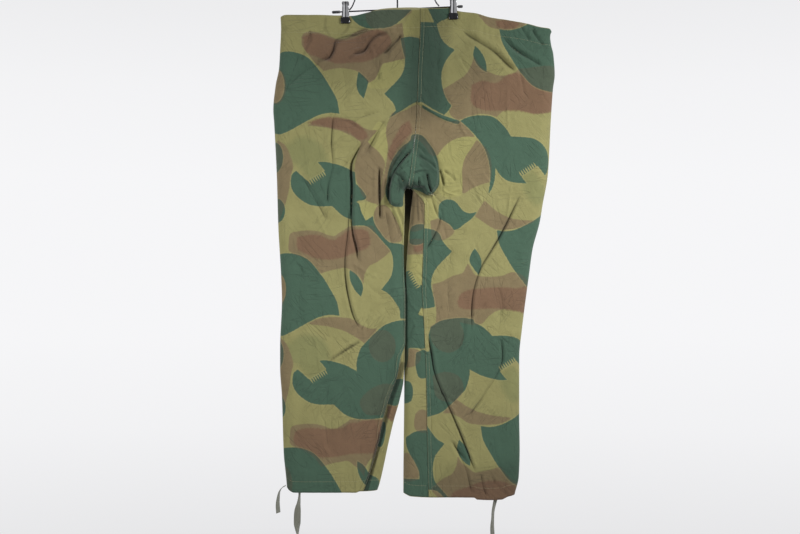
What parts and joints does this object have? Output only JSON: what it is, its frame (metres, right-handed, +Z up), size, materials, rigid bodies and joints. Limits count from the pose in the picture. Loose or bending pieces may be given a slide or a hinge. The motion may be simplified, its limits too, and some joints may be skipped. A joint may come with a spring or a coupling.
{
  "type": "overtrousers on a clip hanger",
  "caption": "Camouflage cotton overtrousers with a cased waist, felled seams and tapes at the hems, hung flat by two clips from a chromed wire hanger.",
  "frame": {"origin": "seat of the hanger's hook: the inside of its top, over the stem", "axes": "+X to the right of someone facing the garment's front, +Y towards its back, +Z up"},
  "size_m": [0.6185, 0.0572, 1.3539],
  "materials": {
    "camouflage_cotton": "plain-woven cotton printed with brush-stroke camouflage in dark green, red-brown and khaki, matt",
    "casing_cotton": "the same printed cotton, turned in",
    "tape_cotton": "grey-olive woven cotton tape",
    "chromed_wire": "bright chromed steel wire",
    "clip_steel": "bright chromed sheet steel",
    "black_rubber": "smooth black rubber"
  },
  "bodies": {
    "root": {"panel_front_left": "camouflage_cotton", "panel_front_right": "camouflage_cotton", "panel_back_left": "camouflage_cotton", "panel_back_right": "camouflage_cotton", "fell_front": "camouflage_cotton", "fell_back": "camouflage_cotton", "fell_inseam_left": "camouflage_cotton", "fell_inseam_right": "camouflage_cotton", "fell_side_left": "camouflage_cotton", "fell_side_right": "camouflage_cotton", "waist_casing_front": "casing_cotton", "waist_casing_back": "casing_cotton", "hem_casing_left": "casing_cotton", "hem_casing_right": "casing_cotton", "tape_left_long": "tape_cotton", "tape_left_short": "tape_cotton", "tape_right": "tape_cotton", "hanger_bar": "chromed_wire", "hanger_bow_left": "chromed_wire", "hanger_bow_right": "chromed_wire", "hanger_hook": "chromed_wire", "clip_left_spring": "clip_steel", "clip_left_jaw_front": "clip_steel", "clip_left_jaw_back": "clip_steel", "clip_right_spring": "clip_steel", "clip_right_jaw_front": "clip_steel", "clip_right_jaw_back": "clip_steel", "clip_left_tip_front": "black_rubber", "clip_left_tip_back": "black_rubber", "clip_right_tip_front": "black_rubber", "clip_right_tip_back": "black_rubber"}
  },
  "joints": []
}
